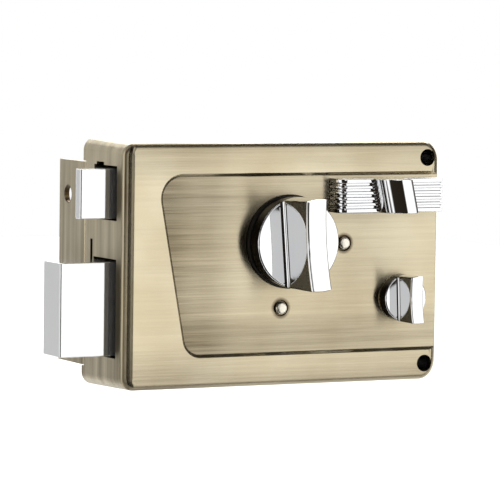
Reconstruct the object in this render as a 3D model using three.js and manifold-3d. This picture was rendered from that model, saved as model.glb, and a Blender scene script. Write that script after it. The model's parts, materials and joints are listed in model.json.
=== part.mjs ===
// Rim night latch: a surface-mounted door lock with a sprung latch bolt worked by a pull slide,
// a deadbolt worked by a large knob through a pinion and rack, and a small snib knob that locks
// or holds back the latch.
//
// Millimetres. +X runs along the case from the door edge towards the hinges, +Y points into the
// door, +Z is up. The origin is the centre of the back face of the base plate.

import * as THREE from "three";
import { mergeVertices } from "three/addons/utils/BufferGeometryUtils.js";
import Module from "manifold-3d";

const wasm = await Module();
wasm.setup();

// ---------------------------------------------------------------- driving dimensions
const GAP = 0.3; // clearance between touching pieces
const CASE_W = 136; // case length at its back edge
const CASE_H = 93.6; // case height at its back edge
const CASE_D = 36; // case depth from the door
const DRAFT = 0.8; // inset of the front face on every side
const WALL = 1.6; // side wall and panel thickness
const EDGE_R = 2.5; // rounding of the front edges above and below
const LEFT_EDGE_R = 4.2; // and at the door edge
const RIGHT_EDGE_R = 5; // and at the other end
const LEFT_R = 4.8; // corner radius at the door edge
const RIGHT_R = 8; // corner radius at the other end
const PANEL_DEPTH = 1.2; // depth of the sunk front panel
const PLATE_T = 2; // base plate thickness
const LEFT = -CASE_W / 2;
const RIGHT = CASE_W / 2;
const FRONT = -CASE_D;
const PANEL = FRONT + PANEL_DEPTH; // outer face of the sunk panel
const INSIDE = PANEL + WALL; // inner face of the front wall
const PLATE_FACE = -PLATE_T - GAP; // where pieces stand on the base plate

const FLANGE_REACH = 21.8; // how far the edge flange laps the door edge
const FLANGE_TOP = 37.7;
const FLANGE_BOTTOM = -39.2;
const FLANGE_HOLE = { y: 14, z: 24.65, r: 3.3 };
const SCREW_HOLE = { x: 60.7, z: 39.7, r: 3.05 }; // door screws, one above and one below

const BOLT_FRONT = -25.5; // both bolts share these two sliding faces
const BOLT_BACK = -10.2;
const LATCH = { tip: -80.8, rear: -50, bottom: 17.6, top: 36.1, tipThickness: 4.1 };
const LATCH_TRAVEL = 12.5;
const DEAD = { tip: -88.6, rear: -52, bottom: -33.7, top: 1.4 };

const KNOB = { x: 1.5, z: 8.4, r: 17.2, baseTop: 8.5, gripTop: 25.5, tilt: 4.5 };
const ROSE_T = 1.8; // flat ring between panel and knob
const SPINDLE_R = 3.5;
const SNIB = { x: 50, z: -14, r: 9, baseTop: 5, gripTop: 14.7, tilt: 2.5 };
const SNIB_SPINDLE_R = 2.2;
const CAM_R = 6; // snib cam, a disc with a flat
const CAM_FLAT = 3.2;

const MODULE = 1; // rack and pinion
const TEETH = 13;
const PITCH_R = (MODULE * TEETH) / 2;
const DEAD_TRAVEL = Math.PI * PITCH_R; // one half turn of the knob
const PRESSURE = THREE.MathUtils.degToRad(25);
const ADDENDUM = 0.85;
const DEDENDUM = 1.15;
const BACKLASH = 0.25; // taken off each tooth
const RACK_LINE = KNOB.z - PITCH_R;

const TAIL_T = 2.4; // latch tail strip
const TAIL_Y1 = BOLT_FRONT + 0.3 + TAIL_T; // its back face
const TAIL_Y0 = TAIL_Y1 - TAIL_T;
const RACK_Y0 = -18.2; // deadbolt tail plate
const RACK_Y1 = -15.2;
const PULL = { x0: 18.7, x1: 63.6, z0: 19.2, z1: 32.2, proud: 8 };
const THUMB = { x: 43.4, r: 8.8, right: 4.4, lean: 12.5 }; // half-round bar across the pull handle, flat on its right
const SLOT = { x0: 33, x1: 61, z0: 23, z1: 28.4 }; // for the neck of the pull bracket
const NECK_W = SLOT.x1 - SLOT.x0 - LATCH_TRAVEL - 2 * GAP;
const NECK_END = PANEL - 3.4; // how far the neck reaches into the pull handle

const RIVETS = { right: [25.3, 7.3], lower: [-1.4, -16.8] }; // hold the bearing plate
const BEARING_T = 1.5;
const DEAD_POST = { x: -14, z: -7 }; // guide post of the deadbolt tail
const SNIB_CLIP_Y = -21.6;
const SPRING = { y: -16, z: 26.85, r: 3.9, wire: 0.6, turns: 8, stop: -18.7 };

// ---------------------------------------------------------------- solid helpers
function solid(geometry) {
  geometry.deleteAttribute("normal");
  geometry.deleteAttribute("uv");
  const merged = mergeVertices(geometry, 1e-5);
  const index = merged.index.array;
  const tris = [];
  for (let i = 0; i < index.length; i += 3) {
    const [a, b, c] = [index[i], index[i + 1], index[i + 2]];
    if (a !== b && b !== c && c !== a) tris.push(a, b, c);
  }
  const mesh = new wasm.Mesh({
    numProp: 3,
    vertProperties: new Float32Array(merged.attributes.position.array),
    triVerts: new Uint32Array(tris),
  });
  return new wasm.Manifold(mesh);
}

function toGeometry(body) {
  const mesh = body.getMesh();
  const geometry = new THREE.BufferGeometry();
  geometry.setAttribute("position", new THREE.BufferAttribute(mesh.vertProperties, 3));
  geometry.setIndex(new THREE.BufferAttribute(mesh.triVerts, 1));
  const flat = geometry.toNonIndexed();
  flat.computeVertexNormals();
  return flat;
}

function cut(body, ...tools) {
  return tools.reduce((rest, tool) => rest.subtract(tool), body);
}

function join(first, ...others) {
  return others.reduce((sum, other) => sum.add(other), first);
}

function box(x0, x1, y0, y1, z0, z1) {
  const geometry = new THREE.BoxGeometry(x1 - x0, y1 - y0, z1 - z0);
  geometry.translate((x0 + x1) / 2, (y0 + y1) / 2, (z0 + z1) / 2);
  return solid(geometry);
}

function cylY(x, z, r, y0, y1, sides = 24) {
  const geometry = new THREE.CylinderGeometry(r, r, y1 - y0, sides);
  geometry.translate(x, (y0 + y1) / 2, z);
  return solid(geometry);
}

function cylX(y, z, r, x0, x1, sides = 20) {
  const geometry = new THREE.CylinderGeometry(r, r, x1 - x0, sides);
  geometry.rotateZ(Math.PI / 2);
  geometry.translate((x0 + x1) / 2, y, z);
  return solid(geometry);
}

function cylZ(x, y, r, z0, z1, sides = 16) {
  const geometry = new THREE.CylinderGeometry(r, r, z1 - z0, sides);
  geometry.rotateX(Math.PI / 2);
  geometry.translate(x, y, (z0 + z1) / 2);
  return solid(geometry);
}

// profile is a list of [radius, y]; it starts and ends on the axis
function lathe(x, z, profile, sides = 32) {
  const points = profile.map(([r, y]) => new THREE.Vector2(r, y));
  const geometry = new THREE.LatheGeometry(points, sides);
  geometry.translate(x, 0, z);
  return solid(geometry);
}

// a ring about a line along Y
function ring(x, z, inner, outer, y0, y1, sides = 32) {
  return cylY(x, z, outer, y0, y1, sides).subtract(cylY(x, z, inner, y0 - 1, y1 + 1, sides));
}

function extrude(shape, depth) {
  return new THREE.ExtrudeGeometry(shape, { depth, bevelEnabled: false, curveSegments: 6 });
}

// shapes drawn as (x, z), (x, y) and (y, z), swept along the remaining axis
function sweepY(shape, y0, y1) {
  return solid(extrude(shape, y1 - y0).rotateX(Math.PI / 2).translate(0, y1, 0));
}

function sweepZ(shape, z0, z1) {
  return solid(extrude(shape, z1 - z0).translate(0, 0, z0));
}

function sweepX(shape, x0, x1) {
  const turn = new THREE.Matrix4().makeBasis(
    new THREE.Vector3(0, 1, 0),
    new THREE.Vector3(0, 0, 1),
    new THREE.Vector3(1, 0, 0),
  );
  return solid(extrude(shape, x1 - x0).applyMatrix4(turn).translate(x0, 0, 0));
}

function polygon(points) {
  return new THREE.Shape(points.map(([a, b]) => new THREE.Vector2(a, b)));
}

// outline with rounded corners: points are [a, b, radius]
function rounded(points, steps = 4) {
  const out = [];
  points.forEach(([a, b, r = 0], i) => {
    const corner = new THREE.Vector2(a, b);
    if (!r) {
      out.push(corner);
      return;
    }
    const last = points[(i + points.length - 1) % points.length];
    const next = points[(i + 1) % points.length];
    const back = new THREE.Vector2(last[0] - a, last[1] - b).normalize();
    const on = new THREE.Vector2(next[0] - a, next[1] - b).normalize();
    const half = Math.acos(THREE.MathUtils.clamp(back.dot(on), -1, 1)) / 2;
    const reach = r / Math.tan(half);
    const start = corner.clone().addScaledVector(back, reach);
    const end = corner.clone().addScaledVector(on, reach);
    const centre = corner
      .clone()
      .addScaledVector(back.clone().add(on).normalize(), r / Math.sin(half));
    const a0 = Math.atan2(start.y - centre.y, start.x - centre.x);
    let turn = Math.atan2(end.y - centre.y, end.x - centre.x) - a0;
    if (turn > Math.PI) turn -= 2 * Math.PI;
    if (turn < -Math.PI) turn += 2 * Math.PI;
    for (let k = 0; k <= steps; k += 1) {
      const angle = a0 + (turn * k) / steps;
      out.push(new THREE.Vector2(centre.x + r * Math.cos(angle), centre.y + r * Math.sin(angle)));
    }
  });
  return out;
}

function roundedShape(points, steps) {
  return new THREE.Shape(rounded(points, steps));
}

// closed loft through rings of matching points; each ring is {y, points}, y falling, and y is
// one depth for the ring or a depth for each point
function loft(rings) {
  const count = rings[0].points.length;
  const position = [];
  rings.forEach(({ y, points }) => points.forEach((p, i) => {
    position.push(p.x, Array.isArray(y) ? y[i] : y, p.y);
  }));
  const index = [];
  for (let r = 0; r + 1 < rings.length; r += 1) {
    for (let i = 0; i < count; i += 1) {
      const j = (i + 1) % count;
      const [a, b] = [r * count + i, r * count + j];
      const [c, d] = [a + count, b + count];
      index.push(a, b, d, a, d, c);
    }
  }
  const last = (rings.length - 1) * count;
  for (let i = 1; i + 1 < count; i += 1) {
    index.push(0, i + 1, i);
    index.push(last, last + i, last + i + 1);
  }
  const geometry = new THREE.BufferGeometry();
  geometry.setAttribute("position", new THREE.Float32BufferAttribute(position, 3));
  geometry.setIndex(index);
  return solid(geometry);
}

function turnAboutY(body, x, z, degrees) {
  const angle = THREE.MathUtils.degToRad(degrees);
  const matrix = new THREE.Matrix4()
    .makeTranslation(x, 0, z)
    .multiply(new THREE.Matrix4().makeRotationY(angle))
    .multiply(new THREE.Matrix4().makeTranslation(-x, 0, -z));
  return body.transform(matrix.elements);
}

// ---------------------------------------------------------------- case and base plate
function caseOutline(inset, shrink = 0, steps = 5) {
  const x0 = LEFT + inset;
  const x1 = RIGHT - inset;
  const z = CASE_H / 2 - inset;
  const left = LEFT_R - shrink;
  const right = RIGHT_R - shrink;
  return rounded([[x0, -z, left], [x1, -z, right], [x1, z, right], [x0, z, left]], steps);
}

function draftAt(y) {
  return (DRAFT * -y) / CASE_D;
}

// the outside: its front edge has its own rounding on each side, blended round the corners
function caseSkin() {
  const count = 8;
  const centre = (p) => [Math.sign(p.x), Math.sign(p.y), p.x > 0 ? RIGHT_R : LEFT_R];
  const edgeRadius = (n) => {
    const side = n.x > 0 ? RIGHT_EDGE_R : LEFT_EDGE_R;
    return THREE.MathUtils.lerp(EDGE_R, side, n.x * n.x);
  };
  const ring = (angle) => caseOutline(0, 0, count).map((p) => {
    const [sx, sz, r] = centre(p);
    const middle = new THREE.Vector2(sx * (CASE_W / 2 - r), sz * (CASE_H / 2 - r));
    const n = p.clone().sub(middle).normalize();
    if (angle === null) return { point: p, y: 0 };
    const edge = edgeRadius(n);
    const y = FRONT + edge * (1 - Math.sin(angle));
    const drafted = p.clone().sub(new THREE.Vector2(sx, sz).multiplyScalar(draftAt(y)));
    return { point: drafted.addScaledVector(n, -edge * (1 - Math.cos(angle))), y };
  });
  const rings = [ring(null)];
  for (let k = 0; k <= 5; k += 1) rings.push(ring((k * Math.PI) / 10));
  return loft(rings.map((row) => ({ points: row.map(({ point }) => point), y: row.map(({ y }) => y) })));
}

function caseHollow() {
  const inner = (y) => caseOutline(WALL + draftAt(y), WALL);
  return loft([{ y: 1, points: inner(1) }, { y: INSIDE, points: inner(INSIDE) }]);
}

function sunkPanel() {
  const outline = roundedShape([[-41.3, -33.9, 7], [90, -33.9], [90, 33.8], [-53.7, 33.8, 8.5]]);
  return sweepY(outline, FRONT - 5, PANEL);
}

function caseBosses() {
  return caseScrewPlaces().map(([x, z]) => cylY(x, z, 3.2, INSIDE - 0.5, PLATE_FACE, 16));
}

function caseScrewPlaces() {
  return [[-57, 42.1], [-57, -42.1], [18, 42.1], [18, -42.1]];
}

function caseCover() {
  const shell = cut(caseSkin(), caseHollow(), sunkPanel());
  const latchWay = box(LEFT - 1, -60, -28.3, BOLT_BACK + 0.8, LATCH.bottom - 0.8, LATCH.top + 1.1);
  const latchNotch = box(LEFT - 1, -60, -17.6, -11.4, LATCH.top, LATCH.top + 2.2);
  const deadWay = box(LEFT - 1, -60, -28.3, BOLT_BACK + 0.8, DEAD.bottom - 0.8, DEAD.top + 1.1);
  const slit = box(LEFT - 1, -60, -8.5, -6.6, DEAD.top - 2, 9);
  const flangeNotch = box(LEFT - 1, -64, PLATE_FACE, 2, FLANGE_BOTTOM - GAP, FLANGE_TOP + GAP);
  const slot = box(SLOT.x0, SLOT.x1, PANEL - 1, INSIDE + 1, SLOT.z0, SLOT.z1);
  const knobHole = cylY(KNOB.x, KNOB.z, SPINDLE_R + GAP, PANEL - 1, INSIDE + 1);
  const snibHole = cylY(SNIB.x, SNIB.z, SNIB_SPINDLE_R + GAP, PANEL - 1, INSIDE + 1);
  const screwHoles = [1, -1].map((side) =>
    cylY(SCREW_HOLE.x, side * SCREW_HOLE.z, SCREW_HOLE.r + 0.2, FRONT - 1, INSIDE + 1));
  const rivetHoles = Object.values(RIVETS).flatMap(([x, z]) => [
    cylY(x, z, 1.7, PANEL - 1, INSIDE + 1, 16),
    cylY(x, z, 3.1, PANEL - 1, PANEL + 0.35, 20),
  ]);
  const screwBores = caseScrewPlaces().map(([x, z]) => cylY(x, z, 1.7, -16, 0, 16));
  const drilled = cut(shell, latchWay, latchNotch, deadWay, slit, flangeNotch, slot);
  const bored = cut(drilled, knobHole, snibHole, ...screwHoles, ...rivetHoles);
  return cut(join(bored, ...caseBosses()), ...screwBores);
}

function basePlate() {
  const inset = WALL + GAP;
  const x0 = LEFT + inset;
  const x1 = RIGHT - inset;
  const z = CASE_H / 2 - inset;
  const outline = roundedShape([[x0, -z, 3], [x1, -z, 6.2], [x1, z, 6.2], [x0, z, 3]]);
  const sheet = sweepY(outline, -PLATE_T, 0);
  const bend = roundedShape([
    [LEFT, -PLATE_T, 2], [x0 + 4, -PLATE_T], [x0 + 4, 0], [LEFT + PLATE_T, 0, 0.6],
    [LEFT + PLATE_T, FLANGE_REACH, 0.5], [LEFT, FLANGE_REACH, 0.5],
  ]);
  const flange = sweepZ(bend, FLANGE_BOTTOM, FLANGE_TOP);
  const flangeHoles = [1, -1].map((side) =>
    cylX(FLANGE_HOLE.y, side * FLANGE_HOLE.z, FLANGE_HOLE.r, LEFT - 2, LEFT + 4));
  const screwHoles = [1, -1].map((side) =>
    cylY(SCREW_HOLE.x, side * SCREW_HOLE.z, SCREW_HOLE.r, -4, 2));
  const tailWay = cylY(KNOB.x, KNOB.z, 6.6, -4, 2, 32);
  const caseHoles = caseScrewPlaces().flatMap(([x, z]) => [
    cylY(x, z, 1.8, -4, 2, 16),
    lathe(x, z, [[0, -1.7], [1.8, -1.7], [3.5, 0], [3.5, 1], [0, 1]], 20),
  ]);
  return cut(join(sheet, flange), ...flangeHoles, ...screwHoles, tailWay, ...caseHoles);
}

function caseScrew([x, z]) {
  const profile = [[0, -14], [1.4, -14], [1.4, -1.5], [3.1, -0.1], [0, -0.1]];
  const slot = box(x - 2.6, x + 2.6, -0.8, 1, z - 0.35, z + 0.35);
  return lathe(x, z, profile, 16).subtract(slot);
}

function mountingPillar(side) {
  const z = side * SCREW_HOLE.z;
  return ring(SCREW_HOLE.x, z, SCREW_HOLE.r, SCREW_HOLE.r + 0.8, INSIDE + GAP, PLATE_FACE, 24);
}

// ---------------------------------------------------------------- fixed inner pieces
function bearingPlate() {
  const [rx, rz] = RIVETS.right;
  const [lx, lz] = RIVETS.lower;
  const y0 = INSIDE + GAP;
  const outline = roundedShape([
    [lx - 4.5, lz - 4.5, 4], [lx + 5, lz - 4.5, 4], [rx + 4.5, rz - 5, 4], [rx + 4.5, rz + 5, 4],
    [KNOB.x + 2, KNOB.z + 11, 5], [KNOB.x - 10, KNOB.z + 9, 6],
  ]);
  return cut(
    sweepY(outline, y0, y0 + BEARING_T),
    cylY(KNOB.x, KNOB.z, SPINDLE_R + 0.1, y0 - 1, y0 + 3),
    cylY(rx, rz, 1.7, y0 - 1, y0 + 3, 16),
    cylY(lx, lz, 1.7, y0 - 1, y0 + 3, 16),
  );
}

function frontRivet([x, z]) {
  const under = PANEL + 0.35 - GAP;
  const inner = INSIDE + GAP + BEARING_T + GAP;
  return lathe(x, z, [
    [0, under - 1.3], [1, under - 1.25], [1.8, under - 0.95], [2.4, under - 0.3], [2.4, under],
    [1.4, under], [1.4, inner], [2.3, inner], [1.7, inner + 1], [0, inner + 1],
  ], 20);
}

function guidePost(x, z, end) {
  return lathe(x, z, [
    [0, end], [1.7, end], [2, end + 0.3], [2, -4.6], [3.4, -4.6], [3.4, PLATE_FACE], [0, PLATE_FACE],
  ], 20);
}

function springStop() {
  const { stop, z, y } = SPRING;
  const angle = polygon([
    [stop, -21], [stop + 1.6, -21], [stop + 1.6, PLATE_FACE - 1.6], [stop + 10, PLATE_FACE - 1.6],
    [stop + 10, PLATE_FACE], [stop, PLATE_FACE],
  ]);
  return sweepZ(angle, z - 6, z + 6).subtract(cylX(y, z, 1.9, stop - 1, stop + 3));
}

function stopRivet(dz) {
  const top = PLATE_FACE - 1.6 - GAP;
  return lathe(SPRING.stop + 6, SPRING.z + dz, [[0, top - 1], [1.2, top - 0.8], [2, top], [0, top]], 16);
}

// bowed strip that bears on the back of the deadbolt and keeps it from rattling
function frictionSpring() {
  const heel = -36;
  const toe = -62;
  const foot = 8;
  const rise = -BOLT_BACK - GAP + PLATE_FACE;
  const outer = [];
  const inner = [];
  const thick = 0.6;
  for (let k = 0; k <= 12; k += 1) {
    const t = k / 12;
    const x = THREE.MathUtils.lerp(heel - foot, toe, t);
    const lift = rise * Math.sin(Math.PI * Math.min(t * 0.94, 1));
    outer.push([x, Math.min(PLATE_FACE - lift, PLATE_FACE - thick)]);
    inner.push([x, Math.min(PLATE_FACE - lift + thick, PLATE_FACE)]);
  }
  const strip = polygon([
    [heel, PLATE_FACE], [heel, PLATE_FACE - thick], ...outer, ...inner.reverse(),
  ]);
  return sweepZ(strip, -20, -12).subtract(cylY(heel - 4, -16, 1.5, -6, 0, 16));
}

function frictionRivet() {
  const top = PLATE_FACE - 0.6 - GAP;
  return lathe(-40, -16, [
    [0, top - 0.9], [1.6, top - 0.7], [2.4, top], [1.2, top], [1.2, PLATE_FACE], [0, PLATE_FACE],
  ], 16);
}

function knobRose() {
  const y1 = PANEL - GAP;
  const inner = SPINDLE_R + 1;
  return ring(KNOB.x, KNOB.z, inner, KNOB.r + 0.6, y1 - ROSE_T + GAP, y1, 40);
}

// ---------------------------------------------------------------- latch
function latchBolt() {
  const { tip, rear, bottom, top, tipThickness } = LATCH;
  const heel = LEFT + 0.6; // where the bevel ends
  const step = TAIL_Y1 + GAP;
  const outline = roundedShape([
    [tip, BOLT_FRONT, 0.8], [rear - 10, BOLT_FRONT], [rear - 10, step], [rear, step],
    [rear, BOLT_BACK], [heel, BOLT_BACK, 1.5], [tip, BOLT_FRONT + tipThickness, 0.8],
  ], 3);
  const holes = latchRivetPlaces().map(([x, z]) => cylY(x, z, 1.8, BOLT_FRONT, BOLT_BACK + 1, 16));
  const rodHole = cylX(SPRING.y, SPRING.z, 1.9, rear - 6, rear + 1);
  return cut(sweepZ(outline, bottom, top), ...holes, rodHole);
}

function latchRivetPlaces() {
  return [[LATCH.rear - 5, 22], [LATCH.rear - 5, 31.5]];
}

function tailRivet([x, z], back) {
  return lathe(x, z, [
    [0, TAIL_Y0 - GAP - 1], [1.7, TAIL_Y0 - GAP - 0.8], [2.5, TAIL_Y0 - GAP],
    [1.5, TAIL_Y0 - GAP], [1.5, back], [0, back],
  ], 16);
}

// flat L-shaped strip: a bar behind the bolt and a leg that reaches down to the snib cam
function latchTail() {
  const legRight = 52.6;
  const legLeft = 31;
  const legFoot = SNIB.z + CAM_FLAT + GAP;
  const outline = roundedShape([
    [LATCH.rear - 9.7, 20], [legLeft, 20, 2], [legLeft, legFoot, 1], [legRight, legFoot],
    [legRight, 33, 2], [LATCH.rear - 9.7, 33],
  ]);
  const y0 = TAIL_Y0 - 1;
  const y1 = TAIL_Y1 + 1;
  const recesses = [0, LATCH_TRAVEL].map((back) =>
    cylY(SNIB.x - back, SNIB.z, CAM_R + GAP, y0, y1, 40));
  const slot = roundedShape([[-5.1, 24, 2], [12.4, 24, 2], [12.4, 28.8, 2], [-5.1, 28.8, 2]]);
  const rivets = [...latchRivetPlaces(), ...bracketRivetPlaces()];
  const holes = rivets.map(([x, z]) => cylY(x, z, 1.8, y0, y1, 16));
  return cut(sweepY(outline, TAIL_Y0, TAIL_Y1), ...recesses, sweepY(slot, y0, y1), ...holes);
}

function bracketRivetPlaces() {
  return [[SLOT.x0 - 10.2, 26], [SLOT.x0 - 3.6, 26]];
}

// cranked plate: a foot riveted to the tail and a neck that passes out through the slot
function pullBracket() {
  const x = SLOT.x0 + GAP;
  const y1 = TAIL_Y0 - GAP;
  const foot = box(x - 14.5, x + NECK_W + 0.5, y1 - 2, y1, SLOT.z0 - 1.5, SLOT.z1 + 1.5);
  const neck = box(x, x + NECK_W, NECK_END, y1, SLOT.z0 + GAP, SLOT.z1 - GAP);
  const holes = bracketRivetPlaces().map(([hx, hz]) => cylY(hx, hz, 1.8, y1 - 4, y1 + 1, 16));
  return cut(join(foot, neck), ...holes);
}

function bracketRivet([x, z]) {
  const front = TAIL_Y0 - GAP - 2 - GAP;
  return lathe(x, z, [
    [0, front - 0.8], [1.6, front - 0.7], [2.4, front], [1.5, front], [1.5, TAIL_Y1 + GAP],
    [2.3, TAIL_Y1 + GAP], [1.6, TAIL_Y1 + 1], [0, TAIL_Y1 + 1],
  ], 16);
}

function pullHandle() {
  const ribs = 6;
  const depth = 0.7;
  const y1 = PANEL - GAP;
  const y0 = PANEL - PULL.proud;
  const pitch = (PULL.z1 - PULL.z0) / ribs;
  const outline = [[y1, PULL.z0], [y1, PULL.z1]];
  for (let k = 0; k < ribs; k += 1) {
    const z = PULL.z1 - k * pitch;
    outline.push([y0 + depth, z], [y0, z - 0.3 * pitch], [y0, z - 0.7 * pitch]);
  }
  outline.push([y0 + depth, PULL.z0]);
  const bar = sweepX(polygon(outline), PULL.x0, PULL.x1);
  const lean = new THREE.Matrix4()
    .makeTranslation(THUMB.x, y0, (PULL.z0 + PULL.z1) / 2)
    .multiply(new THREE.Matrix4().makeRotationY(THREE.MathUtils.degToRad(-THUMB.lean)));
  const flat = box(-THUMB.r - 1, THUMB.right, -THUMB.r - 1, THUMB.r + 1, -20, 20);
  const height = box(PULL.x0, PULL.x1, y0 - THUMB.r - 1, y0 + depth + 0.5, PULL.z0, PULL.z1);
  const thumbBar = cylZ(0, 0, THUMB.r, -20, 20, 72).intersect(flat).transform(lean.elements).intersect(height);
  const x = SLOT.x0;
  const pocket = box(x, x + NECK_W + 2 * GAP, NECK_END - GAP, y1 + 1, SLOT.z0, SLOT.z1);
  const screwHole = cylZ(x + 7, PANEL - 2, 1.3, PULL.z0 - 1, SLOT.z0 + 1);
  return cut(join(bar, thumbBar), pocket, screwHole);
}

function handleScrew() {
  return cylZ(SLOT.x0 + 7, PANEL - 2, 1, PULL.z0 + 0.2, SLOT.z0);
}

function springRod() {
  return cylX(SPRING.y, SPRING.z, 1.6, LATCH.rear - 5.7, -9);
}

function latchSpring() {
  const { y, z, r, wire, turns, stop } = SPRING;
  const start = LATCH.rear + GAP + wire;
  const end = stop - GAP - wire;
  class Helix extends THREE.Curve {
    getPoint(t, target = new THREE.Vector3()) {
      const angle = 2 * Math.PI * turns * t;
      const x = THREE.MathUtils.lerp(start, end, t);
      return target.set(x, y + r * Math.cos(angle), z + r * Math.sin(angle));
    }
  }
  const section = new THREE.Shape();
  for (let k = 0; k < 6; k += 1) {
    const angle = (k * Math.PI) / 3;
    const point = [wire * Math.cos(angle), wire * Math.sin(angle)];
    if (k === 0) section.moveTo(...point);
    else section.lineTo(...point);
  }
  const steps = turns * 12;
  const path = new Helix();
  return solid(new THREE.ExtrudeGeometry(section, { steps, extrudePath: path, bevelEnabled: false }));
}

// ---------------------------------------------------------------- deadbolt
function deadboltHead() {
  const { tip, rear, bottom, top } = DEAD;
  const c = 0.9;
  const outline = roundedShape([
    [tip, BOLT_FRONT, c], [rear, BOLT_FRONT], [rear, BOLT_BACK], [tip, BOLT_BACK, c],
  ], 3);
  const slot = box(rear - 10, rear + 1, RACK_Y0 - GAP, RACK_Y1 + GAP, bottom - 1, top + 1);
  const holes = deadRivetPlaces().map(([x, z]) => cylY(x, z, 2.3, BOLT_FRONT - 1, BOLT_BACK + 1, 16));
  return cut(sweepZ(outline, bottom, top), slot, ...holes);
}

function deadRivetPlaces() {
  return [[DEAD.rear - 5, -8], [DEAD.rear - 5, -25]];
}

function deadRivet([x, z]) {
  return cylY(x, z, 2, BOLT_FRONT + 0.2, BOLT_BACK - 0.2, 16);
}

function rackTeeth(x0, x1) {
  const pitch = Math.PI * MODULE;
  const first = Math.ceil((x0 - KNOB.x) / pitch);
  const last = Math.floor((x1 - KNOB.x) / pitch);
  const flank = Math.tan(PRESSURE);
  const half = pitch / 4 - BACKLASH / 2;
  const points = [];
  for (let k = first; k <= last; k += 1) {
    const x = KNOB.x + k * pitch;
    points.push([x - half - DEDENDUM * flank, RACK_LINE - DEDENDUM]);
    points.push([x - half + ADDENDUM * flank, RACK_LINE + ADDENDUM]);
    points.push([x + half - ADDENDUM * flank, RACK_LINE + ADDENDUM]);
    points.push([x + half + DEDENDUM * flank, RACK_LINE - DEDENDUM]);
  }
  return points;
}

function deadboltTail() {
  const root = RACK_LINE - DEDENDUM;
  const rackStart = -26;
  const rackEnd = 10.4;
  const outline = [
    [DEAD.rear - 9.7, -30], [-32, -30], [rackStart, -12], [rackEnd, -12], [rackEnd, root],
    ...rackTeeth(rackStart, rackEnd).reverse(), [rackStart, root], [DEAD.rear - 9.7, root],
  ];
  const post = DEAD_POST.x;
  const z = DEAD_POST.z;
  const slot = roundedShape([
    [post - DEAD_TRAVEL - 2.4, z - 2.3, 2], [post + 2.4, z - 2.3, 2],
    [post + 2.4, z + 2.3, 2], [post - DEAD_TRAVEL - 2.4, z + 2.3, 2],
  ]);
  const holes = deadRivetPlaces().map(([x, hz]) => cylY(x, hz, 2.3, RACK_Y0 - 1, RACK_Y1 + 1, 16));
  const plate = sweepY(polygon(outline), RACK_Y0, RACK_Y1);
  return cut(plate, sweepY(slot, RACK_Y0 - 1, RACK_Y1 + 1), ...holes);
}

// ---------------------------------------------------------------- main knob
function pinionOutline() {
  const base = PITCH_R * Math.cos(PRESSURE);
  const tip = PITCH_R + ADDENDUM;
  const root = PITCH_R - DEDENDUM;
  const involute = (r) => {
    const a = Math.acos(Math.min(base / r, 1));
    return Math.tan(a) - a;
  };
  const half = Math.PI / (2 * TEETH) - BACKLASH / 2 / PITCH_R + involute(PITCH_R);
  const points = [];
  for (let k = 0; k < TEETH; k += 1) {
    const centre = -Math.PI / 2 + ((k + 0.5) * 2 * Math.PI) / TEETH;
    const flank = [];
    for (let s = 0; s <= 4; s += 1) {
      const r = THREE.MathUtils.lerp(base, tip, s / 4);
      flank.push([r, half - involute(r)]);
    }
    flank.unshift([root, half + 0.02]);
    flank.forEach(([r, a]) => points.push([r * Math.cos(centre - a), r * Math.sin(centre - a)]));
    flank.reverse().forEach(([r, a]) =>
      points.push([r * Math.cos(centre + a), r * Math.sin(centre + a)]));
  }
  return points.map(([x, z]) => [KNOB.x + x, KNOB.z + z]);
}

function pinion() {
  const teeth = sweepY(polygon(pinionOutline()), -19, -14.4);
  const hub = cylY(KNOB.x, KNOB.z, 5.6, -14.6, -8.6);
  const bore = cylY(KNOB.x, KNOB.z, SPINDLE_R + GAP, -20, -7);
  const pinHole = cylZ(KNOB.x, -11.5, 1.3, KNOB.z - 9, KNOB.z + 9);
  return cut(join(teeth, hub), bore, pinHole);
}

function pinionPin() {
  return cylZ(KNOB.x, -11.5, 1, KNOB.z - 5.8, KNOB.z + 5.8);
}

function knobSpindle() {
  const groove = circlipPlace();
  const shaft = lathe(KNOB.x, KNOB.z, [
    [0, -51], [SPINDLE_R - 0.5, -51], [SPINDLE_R, -50.5], [SPINDLE_R, groove - 0.3], [2.9, groove - 0.3],
    [2.9, groove + 1.3], [SPINDLE_R, groove + 1.3], [SPINDLE_R, -3.3], [0, -3.3],
  ], 28);
  const tailSlot = box(KNOB.x - 1.2, KNOB.x + 1.2, -8, 0, KNOB.z - 5, KNOB.z + 5);
  const pinHole = cylZ(KNOB.x, -11.5, 1.3, KNOB.z - 6, KNOB.z + 6);
  return cut(shaft, tailSlot, pinHole);
}

function circlipPlace() {
  return INSIDE + GAP + BEARING_T + GAP + 0.8 + GAP;
}

function knobWasher() {
  const y1 = circlipPlace() - GAP;
  return ring(KNOB.x, KNOB.z, SPINDLE_R + GAP, 7.5, y1 - 0.8, y1);
}

function circlip(x, z, inner, outer, y0) {
  const clip = ring(x, z, inner, outer, y0, y0 + 1, 28);
  return clip.subtract(box(x - 1.4, x + 1.4, y0 - 1, y0 + 2, z - outer - 1, z));
}

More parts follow.
